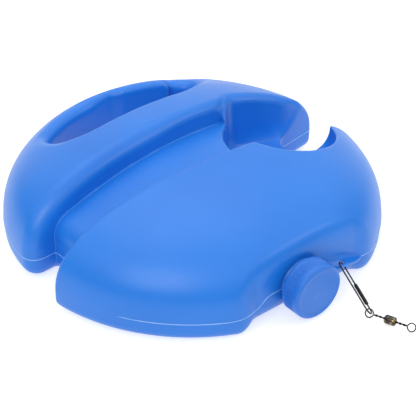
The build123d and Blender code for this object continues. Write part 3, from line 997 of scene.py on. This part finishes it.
def foam(name):
    """White closed-cell foam."""
    material, nodes, links, shader = node_material(name)
    cells = nodes.new("ShaderNodeTexVoronoi")
    place = nodes.new("ShaderNodeTexCoord")
    cells.inputs["Scale"].default_value = 1500
    links.new(place.outputs["Object"], cells.inputs["Vector"])
    stops = [(0.1, (0.72, 0.73, 0.72)), (0.7, (0.86, 0.87, 0.86))]
    colour = ramp(nodes, links, cells.outputs["Distance"], stops)
    links.new(colour, shader.inputs["Base Color"])
    spread(nodes, links, noise(nodes, links, 400, 3), 0.62, 0.8, shader.inputs["Roughness"])
    add_bump(nodes, links, shader, [(cells.outputs["Distance"], 0.4, 0.12)])
    return material


def floor_material(name):
    """Pale paper that glows a little, so that it stays white in the body's shade."""
    material, nodes, links, shader = node_material(name)
    stops = [(0.3, (0.54, 0.54, 0.54)), (0.7, (0.56, 0.56, 0.56))]
    tone = ramp(nodes, links, noise(nodes, links, 3, 2), stops)
    links.new(tone, shader.inputs["Base Color"])
    shader.inputs["Emission Color"].default_value = (1, 1, 1, 1)
    shader.inputs["Emission Strength"].default_value = 0.62
    shader.inputs["Roughness"].default_value = 0.9
    shader.inputs["Specular IOR Level"].default_value = 0.1
    return material


# ======================= light, floor, camera =======================

def area_light(name, place, aim, size, power):
    data = bpy.data.lights.new(name, "AREA")
    data.shape = "RECTANGLE"
    data.size, data.size_y = size
    data.energy = power
    lamp = bpy.data.objects.new(name, data)
    lamp.location = place
    lamp.rotation_euler = (Vector(aim) - Vector(place)).to_track_quat("-Z", "Y").to_euler()
    bpy.context.scene.collection.objects.link(lamp)


def studio():
    """White tent: a sky bright only overhead, a large box above, one at the left, a strip at the right."""
    world = bpy.data.worlds.new("studio")
    bpy.context.scene.world = world
    world.use_nodes = True
    nodes = world.node_tree.nodes
    links = world.node_tree.links
    place = nodes.new("ShaderNodeTexCoord")
    height = nodes.new("ShaderNodeSeparateXYZ")
    links.new(place.outputs["Generated"], height.inputs["Vector"])
    stops = [(0.0, (0.18, 0.19, 0.21)), (0.3, (0.26, 0.27, 0.29)), (0.62, (1, 1, 1))]
    sky = ramp(nodes, links, height.outputs["Z"], stops)
    background = nodes["Background"]
    links.new(sky, background.inputs["Color"])
    background.inputs["Strength"].default_value = 1.1
    area_light("overhead", (0.1, 0.35, 1.3), (0, 0, 0), (1.1, 0.9), 3.0)
    area_light("left_box", (-1.0, -0.6, 1.0), (0, 0, 0.03), (0.8, 0.8), 5.5)
    area_light("right_strip", (0.95, -1.15, 1.0), (0, 0, 0.03), (1.0, 0.22), 3.0)


def studio_floor():
    """Plain sheet that curves up far behind the object."""
    half = 4.0
    bend = 1.2
    rows = [(-half, 0.0), (half - bend, 0.0)]
    rows += [(half - bend + bend * sin(a), bend - bend * cos(a)) for a in
             [pi / 2 * k / 10 for k in range(1, 11)]]
    rows += [(half, bend + 2.0)]
    ahead = Vector((0.6361, 0.7716, 0))
    aside = Vector((0.7716, -0.6361, 0))
    points = []
    for far, up in rows:
        for side in (-half, half):
            points.append(tuple((ahead * far + aside * side + Vector((0, 0, up))) / MM))
    floor = make_mesh("studio_floor", points, grid_faces(len(rows), 2, close_columns=False))
    floor.data.materials.append(floor_material("floor_paper"))


def camera():
    """A long lens above the filler neck's left side."""
    data = bpy.data.cameras.new("camera")
    data.lens = 146.2
    data.sensor_width = 36
    data.clip_end = 50
    eye = bpy.data.objects.new("camera", data)
    eye.location = (-0.6188, -0.7668, 0.7196)
    eye.rotation_euler = Vector((0.5168, 0.6269, -0.5830)).to_track_quat("-Z", "Y").to_euler()
    bpy.context.scene.collection.objects.link(eye)
    bpy.context.scene.camera = eye


# ======================= assembly =======================

def finish_piece(piece, material, body, node=None):
    piece.data.materials.clear()
    piece.data.materials.append(material)
    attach(piece, body)
    if node:
        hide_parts(node)


def build():
    blue = moulded_plastic("blue_polyethylene", (0.007, 0.160, 0.63), (0.009, 0.174, 0.66),
                           (0.011, 0.187, 0.69), (0.30, 0.42), 0.10)
    # the flash is the body's polyethylene in a much paler blue: a painted highlight along the parting line
    flash = moulded_plastic("flash_painted_highlight", (0.12, 0.36, 0.80), (0.18, 0.44, 0.86),
                            (0.26, 0.52, 0.90), (0.30, 0.42), 0.10)
    cap_blue = moulded_plastic("blue_cap", (0.010, 0.145, 0.58), (0.012, 0.155, 0.61),
                               (0.015, 0.167, 0.64), (0.34, 0.46), 0.16)
    wire = plated_metal("black_nickel_wire", (0.020, 0.019, 0.018), (0.060, 0.057, 0.054), (0.10, 0.22))
    sheet = plated_metal("black_nickel_sheet", (0.015, 0.015, 0.014), (0.040, 0.038, 0.036), (0.16, 0.32))
    brass = plated_metal("black_nickel_brass", (0.025, 0.023, 0.021), (0.09, 0.085, 0.08), (0.10, 0.24),
                         brass=(0.30, 0.20, 0.11))
    finish_piece(moulded_body(), blue, "base", "base_shell")
    finish_piece(parting_line(), flash, "base")
    finish_piece(filler_neck(), blue, "base")
    finish_piece(rope_lug(), blue, "base")
    finish_piece(filler_cap(), cap_blue, "cap", "filler_cap")
    finish_piece(cap_liner(), foam("white_foam"), "liner", "cap_liner")
    finish_piece(snap_loop(), wire, "snap", "snap_wire")
    finish_piece(snap_clasp_sleeve(), sheet, "snap", "snap_clasp")
    finish_piece(wire_eye("eye_inner_wire", -1), wire, "eye_inner", "swivel_eye_inner")
    finish_piece(wire_eye("eye_outer_wire", 1), wire, "eye_outer", "swivel_eye_outer")
    finish_piece(barrel(), brass, "barrel", "swivel_barrel")


build()
studio_floor()
studio()
camera()
bpy.context.scene.view_settings.view_transform = "Standard"
